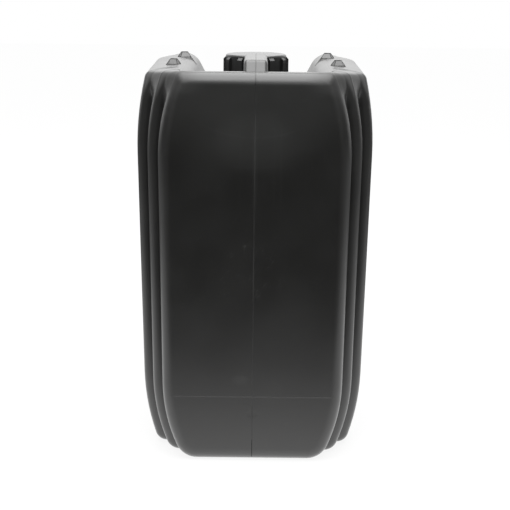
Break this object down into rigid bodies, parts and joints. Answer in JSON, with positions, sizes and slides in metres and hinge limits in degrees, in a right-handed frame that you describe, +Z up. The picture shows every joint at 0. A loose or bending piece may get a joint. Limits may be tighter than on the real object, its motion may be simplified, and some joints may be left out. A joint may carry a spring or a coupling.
{
  "type": "oil canister",
  "caption": "Black blow-moulded oil canister with stepped corners, a hollow grip handle over a trough and a screw cap on a threaded neck",
  "frame": {"origin": "middle of the base on the standing plane", "axes": "X is across the narrow side, Y runs from the plain back panel to the neck, Z is up"},
  "size_m": [0.2304, 0.29, 0.3889],
  "materials": {
    "black_hdpe": "satin, fine moulded grain",
    "black_cap": "satin",
    "pale_liner": "soft foam sheet"
  },
  "bodies": {
    "can": {"canister": "black_hdpe", "tamper_ring": "black_cap"},
    "seal": {"cap_liner": "pale_liner"},
    "cap": {"screw_cap": "black_cap"}
  },
  "joints": [
    {"name": "cap_lift", "type": "slide", "parent": "can", "child": "seal", "axis": [0, 0, 1], "range_m": [0, 0.018]},
    {"name": "cap_turn", "type": "hinge", "parent": "seal", "child": "cap", "pos_m": [0, 0.085, 0.37], "axis": [0, 0, 1], "range_deg": [0, 1080]}
  ],
  "couplings": [
    {"joint": "cap_lift", "follows": "cap_turn", "m_per_rad": 0.00095493}
  ]
}
